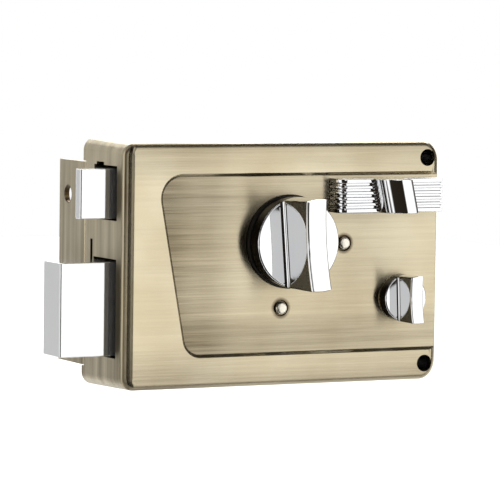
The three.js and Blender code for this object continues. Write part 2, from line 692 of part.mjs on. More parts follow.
// round base with a bar grip across it, thicker towards the base and dished along its front
function turnKnob({ x, z, r, baseTop, gripTop, tilt }, foot, gripHalf, rootHalf, length, dish) {
  const floor = PANEL - baseTop;
  const top = PANEL - gripTop;
  const base = lathe(x, z, [
    [0, floor], [r - 0.8, floor], [r, floor + 0.8], [r, foot - 0.4], [r - 0.4, foot], [0, foot],
  ], 48);
  const wedge = polygon([
    [x - gripHalf, top], [x + gripHalf, top], [x + rootHalf, floor + 0.5], [x - rootHalf, floor + 0.5],
  ]);
  const block = sweepZ(wedge, z - length / 2, z + length / 2);
  const round = cylY(x, z, r + 0.3, top - 1, floor + 1, 64);
  const dishR = (length * length) / (8 * dish) + dish / 2;
  const hollow = cylX(top + dish - dishR, z, dishR, x - 15, x + 15, 96);
  const grip = block.intersect(round).subtract(hollow);
  return join(base, turnAboutY(grip, x, z, -tilt));
}

function mainKnob() {
  const foot = PANEL - ROSE_T - GAP;
  const knob = turnKnob(KNOB, foot, 4.1, 6.4, 2 * KNOB.r + 1, 1.8);
  const bore = cylY(KNOB.x, KNOB.z, SPINDLE_R + GAP, -51.4, foot + 1);
  const screwHole = cylZ(KNOB.x, foot - 3, 1.6, KNOB.z - 20, KNOB.z);
  return cut(knob, bore, screwHole);
}

function knobScrew() {
  const y = PANEL - ROSE_T - GAP - 3;
  return cylZ(KNOB.x, y, 1.3, KNOB.z - 16.6, KNOB.z - SPINDLE_R - GAP);
}

// ---------------------------------------------------------------- snib
function snibKnob() {
  const foot = PANEL - GAP;
  const knob = turnKnob(SNIB, foot, 2.5, 3.7, 2 * SNIB.r + 1, 1);
  const bore = cylY(SNIB.x, SNIB.z, SNIB_SPINDLE_R + GAP, -44.3, foot + 1);
  const screwHole = cylZ(SNIB.x, foot - 2, 1.1, SNIB.z - 10, SNIB.z, 12);
  return cut(knob, bore, screwHole);
}

function snibScrew() {
  return cylZ(SNIB.x, PANEL - GAP - 2, 0.8, SNIB.z - 8.6, SNIB.z - SNIB_SPINDLE_R - GAP, 12);
}

function snibSpindle() {
  const groove = SNIB_CLIP_Y;
  const r = SNIB_SPINDLE_R;
  return lathe(SNIB.x, SNIB.z, [
    [0, -44], [r, -44], [r, groove - 0.3], [1.6, groove - 0.3], [1.6, groove + 1.3],
    [r, groove + 1.3], [r, PLATE_FACE], [0, PLATE_FACE],
  ], 20);
}

function snibCam() {
  const y0 = TAIL_Y0 - 0.2;
  const y1 = TAIL_Y1 + 0.2;
  const { x, z } = SNIB;
  return cut(
    cylY(x, z, CAM_R, y0, y1, 40),
    box(x - 8, x + 8, y0 - 1, y1 + 1, z + CAM_FLAT, z + 8),
    cylY(x, z, SNIB_SPINDLE_R + GAP, y0 - 1, y1 + 1),
  );
}

// ---------------------------------------------------------------- assembly
const FINISH = {
  satinBrass: { color: 0xbfb292, metalness: 0.9, roughness: 0.38 },
  chrome: { color: 0xe6e8ea, metalness: 1, roughness: 0.06 },
  polishedBrass: { color: 0xe3cf9c, metalness: 1, roughness: 0.2 },
  plainSteel: { color: 0x9a9da0, metalness: 0.9, roughness: 0.4 },
  springSteel: { color: 0x6e7073, metalness: 0.9, roughness: 0.35 },
  blackSteel: { color: 0x2a2826, metalness: 0.6, roughness: 0.5 },
};

const assembly = new THREE.Group();
assembly.name = "rim_night_latch";

function add(group, name, body, finish) {
  const mesh = new THREE.Mesh(toGeometry(body), new THREE.MeshStandardMaterial(FINISH[finish]));
  mesh.name = name;
  group.add(mesh);
}

function subGroup(name) {
  const group = new THREE.Group();
  group.name = name;
  assembly.add(group);
  return group;
}

const fixed = subGroup("fixed");
add(fixed, "base_plate", basePlate(), "satinBrass");
add(fixed, "case_cover", caseCover(), "satinBrass");
add(fixed, "upper_mounting_pillar", mountingPillar(1), "blackSteel");
add(fixed, "lower_mounting_pillar", mountingPillar(-1), "blackSteel");
caseScrewPlaces().forEach((place, i) =>
  add(fixed, `case_screw_${i + 1}`, caseScrew(place), "plainSteel"));
add(fixed, "bearing_plate", bearingPlate(), "plainSteel");
add(fixed, "front_rivet_right", frontRivet(RIVETS.right), "polishedBrass");
add(fixed, "front_rivet_lower", frontRivet(RIVETS.lower), "polishedBrass");
add(fixed, "latch_guide_post", guidePost(10, 26.4, TAIL_Y0 - 1.5), "plainSteel");
add(fixed, "deadbolt_guide_post", guidePost(DEAD_POST.x, DEAD_POST.z, RACK_Y0 - 1.5), "plainSteel");
add(fixed, "spring_stop", springStop(), "plainSteel");
add(fixed, "stop_rivet_upper", stopRivet(3.4), "plainSteel");
add(fixed, "stop_rivet_lower", stopRivet(-3.4), "plainSteel");
add(fixed, "friction_spring", frictionSpring(), "springSteel");
add(fixed, "friction_spring_rivet", frictionRivet(), "plainSteel");
add(fixed, "knob_rose", knobRose(), "blackSteel");

const latch = subGroup("latch");
add(latch, "latch_bolt", latchBolt(), "chrome");
add(latch, "latch_tail", latchTail(), "plainSteel");
latchRivetPlaces().forEach((place, i) =>
  add(latch, `latch_rivet_${i + 1}`, tailRivet(place, BOLT_BACK - 0.2), "plainSteel"));
add(latch, "pull_bracket", pullBracket(), "plainSteel");
bracketRivetPlaces().forEach((place, i) =>
  add(latch, `bracket_rivet_${i + 1}`, bracketRivet(place), "plainSteel"));
add(latch, "pull_handle", pullHandle(), "chrome");
add(latch, "handle_grub_screw", handleScrew(), "blackSteel");
add(latch, "spring_rod", springRod(), "plainSteel");
add(latch, "latch_spring", latchSpring(), "springSteel");

const deadbolt = subGroup("deadbolt");
add(deadbolt, "deadbolt_head", deadboltHead(), "chrome");
add(deadbolt, "deadbolt_tail", deadboltTail(), "plainSteel");
deadRivetPlaces().forEach((place, i) =>
  add(deadbolt, `deadbolt_rivet_${i + 1}`, deadRivet(place), "plainSteel"));

const knob = subGroup("knob");
add(knob, "main_knob", mainKnob(), "chrome");
add(knob, "knob_spindle", knobSpindle(), "plainSteel");
add(knob, "knob_grub_screw", knobScrew(), "blackSteel");
add(knob, "deadbolt_pinion", pinion(), "plainSteel");
add(knob, "pinion_pin", pinionPin(), "plainSteel");
add(knob, "knob_washer", knobWasher(), "plainSteel");
add(knob, "knob_circlip", circlip(KNOB.x, KNOB.z, 3.2, 6, circlipPlace()), "springSteel");

const snib = subGroup("snib");
add(snib, "snib_knob", snibKnob(), "chrome");
add(snib, "snib_spindle", snibSpindle(), "plainSteel");
add(snib, "snib_grub_screw", snibScrew(), "blackSteel");
add(snib, "snib_cam", snibCam(), "plainSteel");
add(snib, "snib_circlip", circlip(SNIB.x, SNIB.z, 1.9, 4.4, SNIB_CLIP_Y), "springSteel");

export default assembly;
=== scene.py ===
import json
import math

import bmesh
import bpy
from mathutils import Matrix, Vector


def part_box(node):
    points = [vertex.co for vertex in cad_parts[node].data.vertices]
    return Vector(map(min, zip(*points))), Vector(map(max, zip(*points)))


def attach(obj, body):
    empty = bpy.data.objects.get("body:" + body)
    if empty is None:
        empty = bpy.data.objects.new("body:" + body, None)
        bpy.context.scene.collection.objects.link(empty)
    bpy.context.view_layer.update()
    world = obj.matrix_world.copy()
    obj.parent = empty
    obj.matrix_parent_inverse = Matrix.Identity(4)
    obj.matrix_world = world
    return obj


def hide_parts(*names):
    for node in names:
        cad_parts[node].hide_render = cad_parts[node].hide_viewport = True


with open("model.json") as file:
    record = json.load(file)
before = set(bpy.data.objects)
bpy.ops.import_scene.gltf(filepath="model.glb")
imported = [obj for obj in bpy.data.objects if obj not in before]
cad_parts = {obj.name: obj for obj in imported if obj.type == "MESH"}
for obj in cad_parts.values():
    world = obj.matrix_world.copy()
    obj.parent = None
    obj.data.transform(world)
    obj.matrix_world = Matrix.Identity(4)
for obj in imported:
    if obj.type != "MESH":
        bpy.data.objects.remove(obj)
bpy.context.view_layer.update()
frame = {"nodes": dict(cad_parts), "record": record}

# A rim night latch in antique brass and chrome. Shapes are worked out in millimetres in the frame's
# axes: +X along the case, +Y into the door, +Z up. The room is on the -Y side.

MM = 0.001


def node_box(node):
    """Lowest and highest corner of a CAD node, in millimetres."""
    low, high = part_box(node)
    return [c / MM for c in low], [c / MM for c in high]


# ------------------------------------------------------------------ sizes
(LEFT, FRONT, BOTTOM), (RIGHT, BACK, TOP) = node_box("case_cover")
DRAFT = 0.8  # how much the case tapers on each side from door to front
WALL = 1.6
FRONT_R = 2.5  # rounding of the front edges above and below
LEFT_FRONT_R = 4.0  # larger on the door edge side
RIGHT_FRONT_R = 5.0
CORNER_LEFT = 4.8
CORNER_RIGHT = 8.0
PANEL_DEPTH = 1.2
PANEL = FRONT + PANEL_DEPTH
INSIDE = PANEL + WALL
PANEL_OUTLINE = [(-41.3, -33.9, 7), (90, -33.9, 0), (90, 33.8, 0), (-53.7, 33.8, 8.5)]

(LATCH_TIP, BOLT_FRONT, LATCH_LOW), (LATCH_REAR, BOLT_BACK, LATCH_HIGH) = node_box("latch_bolt")
(DEAD_TIP, _, DEAD_LOW), (DEAD_REAR, _, DEAD_HIGH) = node_box("deadbolt_head")
SHEET = 2.0  # thickness of the base plate and its flange
FLANGE_LOW, FLANGE_HIGH = -39.2, 37.7
_, (_, FLANGE_REACH, _) = node_box("base_plate")
FLANGE_HOLE = dict(y=14, z=24.65, r=3.3)
THUMB = dict(x=43.4, r=8.7, right=4.3, lean=12.5)  # half-round bar across the pull slide
NECK_SLOT = dict(left=33, right=61, low=23, high=28.4)  # where the slide's neck passes the case
NECK_LENGTH = 15.5
CLEAR = 0.3  # gap between pieces that slide or turn on each other

# A knob: axis x and z, radius, front of its round base, front of its bar, lean of the bar in degrees,
# half width of the bar at its top and root, root fillet, hollow of the top, back face, edge radii of
# the bar and the base, spindle bore and where it ends, and the grub screw's place and radius.
KNOB = dict(x=1.5, z=8.4, r=17.2, floor=PANEL - 8.5, top=PANEL - 25.5, tilt=4.5,
            half=4.1, root=5.6, fillet=1.5, dish=1.8, foot=PANEL - 2.1, edge=1.0, rim=0.7,
            bore=3.8, bore_end=-51.4, screw_in=3.0, screw_r=1.6)
SNIB = dict(x=50.0, z=-14.0, r=9.0, floor=PANEL - 5.0, top=PANEL - 14.7, tilt=2.5,
            half=2.5, root=3.2, fillet=0.9, dish=1.0, foot=PANEL - 0.3, edge=0.6, rim=0.6,
            bore=2.5, bore_end=-44.3, screw_in=2.0, screw_r=1.1)
SCREW_HOLE = dict(x=60.7, z=39.7, r=3.05, front_r=3.25)
CASE_SCREW = dict(x=(-57, 18), z=42.1, r=1.8, head_r=3.5)
RIVETS = {"front_rivet_right": (25.3, 7.3), "front_rivet_lower": (-1.4, -16.8)}


# ------------------------------------------------------------------ mesh helpers
def rounded(points, steps=6):
    """A closed outline with rounded corners. points are (a, b, radius)."""
    out = []
    for i, (a, b, r) in enumerate(points):
        corner = Vector((a, b))
        if not r:
            out.append(corner)
            continue
        last, after = points[i - 1], points[(i + 1) % len(points)]
        back = (Vector(last[:2]) - corner).normalized()
        on = (Vector(after[:2]) - corner).normalized()
        half = math.acos(max(-1, min(1, back.dot(on)))) / 2
        start = corner + back * (r / math.tan(half))
        end = corner + on * (r / math.tan(half))
        centre = corner + (back + on).normalized() * (r / math.sin(half))
        a0 = math.atan2(start.y - centre.y, start.x - centre.x)
        turn = math.atan2(end.y - centre.y, end.x - centre.x) - a0
        turn = (turn + math.pi) % (2 * math.pi) - math.pi
        for k in range(steps + 1):
            angle = a0 + turn * k / steps
            out.append(centre + r * Vector((math.cos(angle), math.sin(angle))))
    return out


def outward(points):
    """Outward unit normals of a closed outline that runs anticlockwise."""
    n = len(points)
    area = sum(points[i - 1].cross(points[i]) for i in range(n))
    sign = 1 if area > 0 else -1
    out = []
    for i in range(n):
        before = (points[i] - points[i - 1]).normalized()
        after = (points[(i + 1) % n] - points[i]).normalized()
        t = (before + after).normalized()
        out.append(Vector((t.y, -t.x)) * sign)
    return out


def offset(points, amount):
    """The outline moved outwards by amount, mitred so that straight sides stay parallel."""
    n = len(points)
    normals = outward(points)
    out = []
    for i in range(n):
        t = (points[i] - points[i - 1]).normalized()
        side = Vector((t.y, -t.x))
        stretch = max(0.3, abs(side.dot(normals[i])))
        out.append(points[i] + normals[i] * (amount / stretch))
    return out


def raw_object(name, bm):
    bmesh.ops.recalc_face_normals(bm, faces=bm.faces)
    mesh = bpy.data.meshes.new(name)
    bm.to_mesh(mesh)
    bm.free()
    obj = bpy.data.objects.new(name, mesh)
    bpy.context.scene.collection.objects.link(obj)
    return obj


def vertex_rows(bm, rings):
    """Vertices for rings of 3-D points in millimetres."""
    return [[bm.verts.new(Vector(p) * MM) for p in ring] for ring in rings]


def band(bm, low, high):
    """Quads between two rings of vertices."""
    for i in range(len(low)):
        j = (i + 1) % len(low)
        bm.faces.new((low[i], low[j], high[j], high[i]))


def lofted(name, rings):
    """A closed skin through rings of matching 3-D points."""
    bm = bmesh.new()
    rows = vertex_rows(bm, rings)
    for low, high in zip(rows, rows[1:]):
        band(bm, low, high)
    bm.faces.new(rows[0])
    bm.faces.new(rows[-1][::-1])
    return raw_object(name, bm)


def swept(name, outline, axis, start, end):
    """An outline swept along an axis: (x, z) along Y, (x, y) along Z, (y, z) along X."""
    place = {
        "Y": lambda p, d: (p[0], d, p[1]),
        "Z": lambda p, d: (p[0], p[1], d),
        "X": lambda p, d: (d, p[0], p[1]),
    }[axis]
    return lofted(name, [[place(p, d) for p in outline] for d in (start, end)])


def block(x0, x1, y0, y1, z0, z1):
    return swept("cutter", [(x0, z0), (x1, z0), (x1, z1), (x0, z1)], "Y", y0, y1)


def circle(a, b, r, sides=48):
    turns = [2 * math.pi * k / sides for k in range(sides)]
    return [(a + r * math.cos(t), b + r * math.sin(t)) for t in turns]


def drill(a, b, r, axis, start, end, sides=48):
    """A round cutter along an axis; a and b are as in swept."""
    return swept("cutter", circle(a, b, r, sides), axis, start, end)


def turned(name, x, z, profile, sides=96):
    """A turned piece about a line along Y. profile is [radius, y] from axis to axis."""
    bm = bmesh.new()
    rings = []
    for r, y in profile:
        if r == 0:
            rings.append([bm.verts.new(Vector((x, y, z)) * MM)])
        else:
            rings += vertex_rows(bm, [[(cx, y, cz) for cx, cz in circle(x, z, r, sides)]])
    for low, high in zip(rings, rings[1:]):
        if len(low) == len(high):
            band(bm, low, high)
            continue
        for i in range(sides):
            j = (i + 1) % sides
            if len(low) == 1:
                bm.faces.new((low[0], high[j], high[i]))
            else:
                bm.faces.new((low[i], low[j], high[0]))
    return raw_object(name, bm)


def quarter(steps):
    """Angles from 0 to 90 degrees, in radians."""
    return [math.radians(90 * k / steps) for k in range(steps + 1)]


def arc(cx, cy, r, a0, a1, steps=5):
    """Points of an arc in a (radius, y) profile; angles in degrees."""
    return [(cx + r * math.cos(math.radians(a0 + (a1 - a0) * k / steps)),
             cy + r * math.sin(math.radians(a0 + (a1 - a0) * k / steps))) for k in range(steps + 1)]


def bake(obj):
    """Applies the object's modifiers to its mesh."""
    bpy.context.view_layer.update()
    evaluated = obj.evaluated_get(bpy.context.evaluated_depsgraph_get())
    mesh = bpy.data.meshes.new_from_object(evaluated)
    obj.modifiers.clear()
    old = obj.data
    obj.data = mesh
    mesh.name = obj.name
    bpy.data.meshes.remove(old)
    return obj


def combine(obj, tools, operation="DIFFERENCE"):
    """Cuts or joins the tools, one by one, and removes them."""
    for tool in tools:
        mod = obj.modifiers.new("combine", "BOOLEAN")
        mod.operation = operation
        mod.solver = "EXACT"
        mod.object = tool
    bake(obj)
    for tool in tools:
        mesh = tool.data
        bpy.data.objects.remove(tool)
        bpy.data.meshes.remove(mesh)
    return obj


def bevel(obj, width, segments, angle):
    """Rounds the edges sharper than angle, in degrees."""
    mod = obj.modifiers.new("bevel", "BEVEL")
    mod.width = width * MM
    mod.segments = segments
    mod.limit_method = "ANGLE"
    mod.angle_limit = math.radians(angle)
    return bake(obj)


def clean(obj):
    """Merges the doubled vertices and thin faces that the cuts leave."""
    doubled, degenerate = 0.002 * MM, 0.001 * MM
    bm = bmesh.new()
    bm.from_mesh(obj.data)
    bmesh.ops.remove_doubles(bm, verts=bm.verts, dist=doubled)
    bmesh.ops.dissolve_degenerate(bm, edges=bm.edges, dist=degenerate)
    bm.to_mesh(obj.data)
    bm.free()
    return obj


def finish_surface(obj, angle=32):
    """Smooth shading that stays flat on flat faces and sharp at edges over the angle."""
    mesh = obj.data
    for face in mesh.polygons:
        face.use_smooth = True
    bm = bmesh.new()
    bm.from_mesh(mesh)
    for edge in bm.edges:
        edge.smooth = len(edge.link_faces) == 2 and edge.calc_face_angle(0) < math.radians(angle)
    bm.to_mesh(mesh)
    bm.free()
    mod = obj.modifiers.new("weighted", "WEIGHTED_NORMAL")
    mod.keep_sharp = True
    mod.weight = 100
    return bake(obj)


def piece(obj, body, slot, *replaced, angle=32):
    """Finishes a piece's surface, gives it its slot's material, attaches it to its body and hides the CAD
    nodes it replaces.
    """
    finish_surface(obj, angle)
    obj.data.materials.clear()
    obj.data.materials.append(SLOT_MATERIAL[slot])
    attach(obj, body)
    if replaced:
        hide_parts(*replaced)


# ------------------------------------------------------------------ material helpers
class Nodes:
    """Short ways to add and join shader nodes."""

    def __init__(self, tree):
        self.tree = tree

    def add(self, kind, **inputs):
        node = self.tree.nodes.new(kind)
        for key, value in inputs.items():
            self.set(node, key, value)
        return node

    def set(self, node, key, value):
        if hasattr(node, key) and not isinstance(value, bpy.types.NodeSocket):
            setattr(node, key, value)
            return
        socket = node.inputs[int(key[1:])] if key[0] == "i" and key[1:].isdigit() else node.inputs[key]
        if isinstance(value, bpy.types.NodeSocket):
            self.tree.links.new(value, socket)
        else:
            socket.default_value = value

    def math(self, operation, a, b=0.0, c=0.0, clamp=False):
        node = self.add("ShaderNodeMath", operation=operation, i0=a, i1=b, i2=c)
        node.use_clamp = clamp
        return node.outputs[0]

    def distance(self, a, b, a0, b0):
        """How far the point (a, b) is from (a0, b0), which is in millimetres."""
        squares = [self.math("POWER", self.math("SUBTRACT", value, at * MM), 2.0)
                   for value, at in ((a, a0), (b, b0))]
        return self.math("SQRT", self.math("ADD", *squares))

    def between(self, value, low, high):
        """1 where the value is over low and under high, which are in millimetres."""
        return self.math("MULTIPLY", self.math("GREATER_THAN", value, low * MM),
                         self.math("LESS_THAN", value, high * MM))

    def ramp(self, value, stops, ease="LINEAR"):
        node = self.add("ShaderNodeValToRGB", i0=value)
        node.color_ramp.interpolation = ease
        elements = node.color_ramp.elements
        while len(elements) < len(stops):
            elements.new(0.5)
        for element, (at, level) in zip(elements, stops):
            element.position = at
            element.color = (*level, 1) if isinstance(level, tuple) else (level, level, level, 1)
        return node.outputs[0]

    def mix(self, factor, a, b):
        node = self.tree.nodes.new("ShaderNodeMix")
        node.data_type = "RGBA"
        for socket, value in ((node.inputs[0], factor), (node.inputs[6], a), (node.inputs[7], b)):
            if isinstance(value, bpy.types.NodeSocket):
                self.tree.links.new(value, socket)
            elif isinstance(value, tuple):
                socket.default_value = (*value, 1)
            else:
                socket.default_value = value
        return node.outputs[2]

    def noise(self, vector, scale, detail=3.0, rough=0.55, stretch=(1, 1, 1), seed=0.0):
        place = self.add("ShaderNodeMapping", Vector=vector)
        place.inputs["Scale"].default_value = stretch
        place.inputs["Location"].default_value = (seed, seed * 0.37, seed * 0.71)
        node = self.add("ShaderNodeTexNoise", Vector=place.outputs[0], Scale=scale, Detail=detail,
                        Roughness=rough)
        return node.outputs[0]

    def position(self):
        """The point in object space, in metres."""
        return self.add("ShaderNodeTexCoord").outputs["Object"]

    def split(self, vector):
        """The X, Y and Z of a vector."""
        return self.add("ShaderNodeSeparateXYZ", Vector=vector).outputs


def new_material(name):
    material = bpy.data.materials.new(name)
    material.use_nodes = True
    material.node_tree.nodes.clear()
    return material, Nodes(material.node_tree)


def shader(nodes, color, rough, normal=None, metallic=1.0, **fixed):
    bsdf = nodes.add("ShaderNodeBsdfPrincipled")
    nodes.set(bsdf, "Base Color", color)
    nodes.set(bsdf, "Roughness", rough)
    bsdf.inputs["Metallic"].default_value = metallic
    for key, value in fixed.items():
        bsdf.inputs[key].default_value = value
    if normal is not None:
        nodes.set(bsdf, "Normal", normal)
    out = nodes.add("ShaderNodeOutputMaterial")
    nodes.tree.links.new(bsdf.outputs[0], out.inputs[0])
    return bsdf


def bump(nodes, height, strength, distance):
    node = nodes.add("ShaderNodeBump", Height=height, Strength=strength, Distance=distance * MM)
    return node.outputs[0]


BRASS = (0.60, 0.515, 0.345)
BRASS_WORN = (0.66, 0.585, 0.42)
# dark patina tone, into which the painted shade and painted reflection on the brass are mixed
PATINA_AND_PAINTED_SHADE = (0.102, 0.076, 0.044)
RIVET_SHADE, FLANGE_SHADE = 5.0, 5.0  # reach of the painted shade round the rivets and in the bores


def depth_share(n, y):
    """A rising share of the lock's depth, from 0 at the case's front to past the door face."""
    return n.math("MULTIPLY_ADD", y, 1 / (60 * MM), 36 / 60)


def brass_streaks(n, where, sideways):
    """The grain of the brushing, along X on the front and along Z on the sides."""
    along_x = n.noise(where, 1.0, detail=4, rough=0.65, stretch=(14, 700, 900))
    fine_x = n.noise(where, 1.0, detail=2, rough=0.6, stretch=(40, 2400, 2700), seed=3.1)
    broad_x = n.noise(where, 1.0, detail=2, rough=0.5, stretch=(7, 150, 190), seed=7.7)
    along_z = n.noise(where, 1.0, detail=3, rough=0.6, stretch=(300, 260, 9), seed=1.3)
    streak = n.math("MULTIPLY_ADD", broad_x, 0.34, n.math("MULTIPLY", n.mix(0.4, along_x, fine_x), 0.66))
    return n.mix(sideways, streak, along_z)


def bare_and_lit_share(n, x, y, z, facing):
    """How light the brass is painted, before the grain: painted reflection on the front, painted shade at
    rivets and bores.
    """
    depth = n.math("MULTIPLY_ADD", y, 1 / (PANEL_DEPTH * MM), -FRONT / PANEL_DEPTH)
    shell = n.math("LESS_THAN", y, (PANEL + 1.0) * MM)
    sunk = n.math("MULTIPLY", n.ramp(depth, [(0.25, 0.0), (0.95, 1.0)]), shell)
    span = n.math("MULTIPLY_ADD", x, 1 / (RIGHT - LEFT) / MM, 0.5)
    rise = n.math("MULTIPLY_ADD", z, 0.5 / (TOP * MM), 0.5)

    # painted reflection: darker at the panel's left end and foot, and on the upper and lower bands, lighter
    # to the right
    panel_x = n.ramp(span, [(0.12, 0.28), (0.24, 0.50), (0.38, 0.78), (0.55, 0.80), (0.72, 0.74),
                            (0.95, 0.90)], "EASE")
    panel_z = n.ramp(rise, [(0.10, 0.84), (0.20, 0.70), (0.34, 1.0), (0.62, 1.0), (0.78, 0.82),
                            (0.86, 0.94)], "EASE")
    bands = n.ramp(rise, [(0.03, 0.60), (0.10, 0.74), (0.22, 1.0), (0.80, 1.0), (0.92, 0.78),
                          (0.98, 0.66)], "EASE")
    right_lift = n.ramp(span, [(0.02, 1.0), (0.20, 0.92), (0.42, 1.1), (0.95, 1.02)], "EASE")
    bare_and_lit = n.mix(sunk, n.math("MULTIPLY", bands, right_lift), n.math("MULTIPLY", panel_x, panel_z))
    # on the sides, darker towards the bottom
    side = n.ramp(n.math("ABSOLUTE", facing[0]), [(0.86, 0.0), (0.98, 1.0)])
    bare_and_lit = n.mix(side, bare_and_lit, n.ramp(rise, [(0.05, 0.46), (0.5, 0.60), (0.95, 0.88)]))
    # darker towards the back, past the door face
    bare_and_lit = n.math("MULTIPLY", bare_and_lit, n.ramp(depth_share(n, y), [(0.0, 1.0), (0.55, 0.94), (0.72, 0.72)]))
    # darker on faces turned towards the door
    bare_and_lit = n.math("MULTIPLY", bare_and_lit, n.ramp(facing[1], [(0.4, 1.0), (0.8, 0.42)]))
    # painted shade: a dark ring round each rivet head on the sunk panel
    for rivet_x, rivet_z in RIVETS.values():
        away = n.math("MULTIPLY", n.distance(x, z, rivet_x, rivet_z), 1 / (RIVET_SHADE * MM))
        rim = n.ramp(away, [(0.50, 0.02), (0.66, 0.15), (0.86, 1.0)])
        bare_and_lit = n.math("MULTIPLY", bare_and_lit, n.mix(sunk, (1.0, 1.0, 1.0), rim))
    # painted shade inside the flange's two bores
    for side_sign in (1, -1):
        away = n.math("MULTIPLY", n.distance(y, z, FLANGE_HOLE["y"], side_sign * FLANGE_HOLE["z"]),
                      1 / (FLANGE_SHADE * MM))
        bare_and_lit = n.math("MULTIPLY", bare_and_lit, n.ramp(away, [(0.67, 0.02), (0.74, 1.0)]))
    return bare_and_lit, side


def brass_material():
    """Brass brushed along X, mixed towards a patina tone: painted reflection across the front, painted shade
    round the rivets and in the bores, darker sides.
    """
    material, n = new_material("antique_brass_brushed")
    where = n.position()
    x, y, z = n.split(where)
    normal = n.add("ShaderNodeNewGeometry").outputs["Normal"]
    facing = n.split(normal)
    sideways = n.ramp(n.math("ABSOLUTE", facing[0]), [(0.45, 0.0), (0.8, 1.0)])
    cloud = n.noise(where, 30.0, detail=3, rough=0.5)
    streak = brass_streaks(n, where, sideways)
    bare_and_lit, side = bare_and_lit_share(n, x, y, z, facing)

    contrast = n.math("MULTIPLY_ADD", n.math("SUBTRACT", 1.0, bare_and_lit), 1.7, 0.38)
    uneven = n.math("MULTIPLY", n.math("SUBTRACT", streak, 0.5), contrast)
    share = n.math("ADD", n.math("MULTIPLY_ADD", n.math("SUBTRACT", cloud, 0.5), 0.12, bare_and_lit), uneven)
    metal = n.mix(n.ramp(cloud, [(0.35, 0.0), (0.65, 1.0)]), BRASS, BRASS_WORN)
    # painted shade and painted reflection: darker towards the patina tone where the mask is low
    color = n.mix(n.math("MULTIPLY", share, 1.0, clamp=True), PATINA_AND_PAINTED_SHADE, metal)
    rough = n.math("MULTIPLY_ADD", n.math("SUBTRACT", 1.0, share), 0.06,
                   n.math("MULTIPLY_ADD", streak, 0.08, 0.19))
    rough = n.math("MULTIPLY_ADD", side, 0.16, rough)
    bsdf = shader(n, color, rough, bump(n, streak, 0.12, 0.02), **{"Anisotropic": 0.85})
    # brushed along X, and along Y on the two sides; the highlight spreads across the brushing
    brushing = n.add("ShaderNodeCombineXYZ", X=n.math("SUBTRACT", 1.0, sideways),
                     Y=n.math("MULTIPLY", sideways, n.math("SIGN", facing[0])))
    spread = n.add("ShaderNodeVectorMath", operation="CROSS_PRODUCT", i0=normal, i1=brushing.outputs[0])
    n.tree.links.new(spread.outputs[0], bsdf.inputs["Tangent"])
    return material


def chrome(n, where, cool, plain):
    """Colour, roughness, fine scratches and clouds of chrome plate; cool and plain are its two tints."""
    cloud = n.noise(where, 60.0, detail=3)
    scratch = n.noise(where, 1.0, detail=3, rough=0.6, stretch=(400, 2200, 260))
    color = n.mix(n.ramp(cloud, [(0.3, 0.0), (0.7, 1.0)]), cool, plain)
    rough = n.math("MULTIPLY_ADD", n.math("MULTIPLY", scratch, cloud), 0.05, 0.015)
    return color, rough, scratch, cloud


def bolt_material():
    """Satin chrome: mostly mirror, partly soft white."""
    material, n = new_material("satin_chrome_bolts")
    tint = 0.93
    color, rough, scratch, _ = chrome(n, n.position(), (tint * 0.985, tint * 0.99, tint),
                                      (tint * 1.01, tint * 1.01, tint * 1.01))
    shader(n, color, rough, bump(n, scratch, 0.02, 0.01), metallic=0.75)
    return material


def knob_painted_dark(n, x, y, z):
    """1 where a dark reflection is painted: on the side walls of the round bases and along the root line of
    their bars.
    """
    facing = n.split(n.add("ShaderNodeNewGeometry").outputs["Normal"])[1]
    upright = n.math("LESS_THAN", n.math("ABSOLUTE", facing), 0.5)
    margin = 0.1
    dark = 0.0
    for k in (KNOB, SNIB):
        # painted dark reflection on the side wall of each round base
        near = n.math("LESS_THAN", n.distance(x, z, k["x"], k["z"]), (k["r"] + 0.15) * MM)
        low = n.math("GREATER_THAN", y, (k["floor"] + margin) * MM)
        dark = n.math("MAXIMUM", dark, n.math("MULTIPLY", n.math("MULTIPLY", near, low), upright))
        tilt = math.radians(k["tilt"])
        across = n.math("ABSOLUTE", n.math(
            "ADD", n.math("MULTIPLY", n.math("SUBTRACT", x, k["x"] * MM), math.cos(tilt)),
            n.math("MULTIPLY", n.math("SUBTRACT", z, k["z"] * MM), math.sin(tilt))))
        # painted dark reflection along the root fillet of each bar
        foot = n.between(across, k["root"] + 0.35 * k["fillet"], k["root"] + 0.95 * k["fillet"])
        level = n.between(y, k["floor"] - 0.5 * k["fillet"], k["floor"] + margin)
        dark = n.math("MAXIMUM", dark, n.math("MULTIPLY", near, n.math("MULTIPLY", foot, level)))
    return dark


def knob_material():
    """Polished chrome with a dark reflection painted on the side wall of the turned bases and along the root
    of their bars.
    """
    material, n = new_material("polished_chrome_knobs")
    where = n.position()
    dark = knob_painted_dark(n, *n.split(where))
    color, rough, scratch, cloud = chrome(n, where, (0.845, 0.85, 0.86), (0.87, 0.87, 0.87))
    # the painted dark reflection, a near-black brown
    color = n.mix(dark, color, n.mix(cloud, (0.035, 0.03, 0.025), (0.07, 0.06, 0.05)))
    rough = n.math("MULTIPLY_ADD", dark, 0.2, rough)
    shader(n, color, rough, bump(n, scratch, 0.02, 0.01))
    return material


def metal_material(name, color_a, color_b, rough, scale, stretch=(1, 1, 1), strength=0.15):
    """A plain metal between two tints, with a grain."""
    material, n = new_material(name)
    where = n.position()
    grain = n.noise(where, scale, detail=4, rough=0.6, stretch=stretch)
    cloud = n.noise(where, 70.0, detail=2, seed=5.0)
    color = n.mix(n.ramp(cloud, [(0.3, 0.0), (0.7, 1.0)]), color_a, color_b)
    color = n.mix(n.math("MULTIPLY", grain, 0.25), color, (0.05, 0.045, 0.04))
    level = n.math("MULTIPLY_ADD", grain, 0.2, rough - 0.1)
    shader(n, color, level, bump(n, grain, strength, 0.03))
    return material


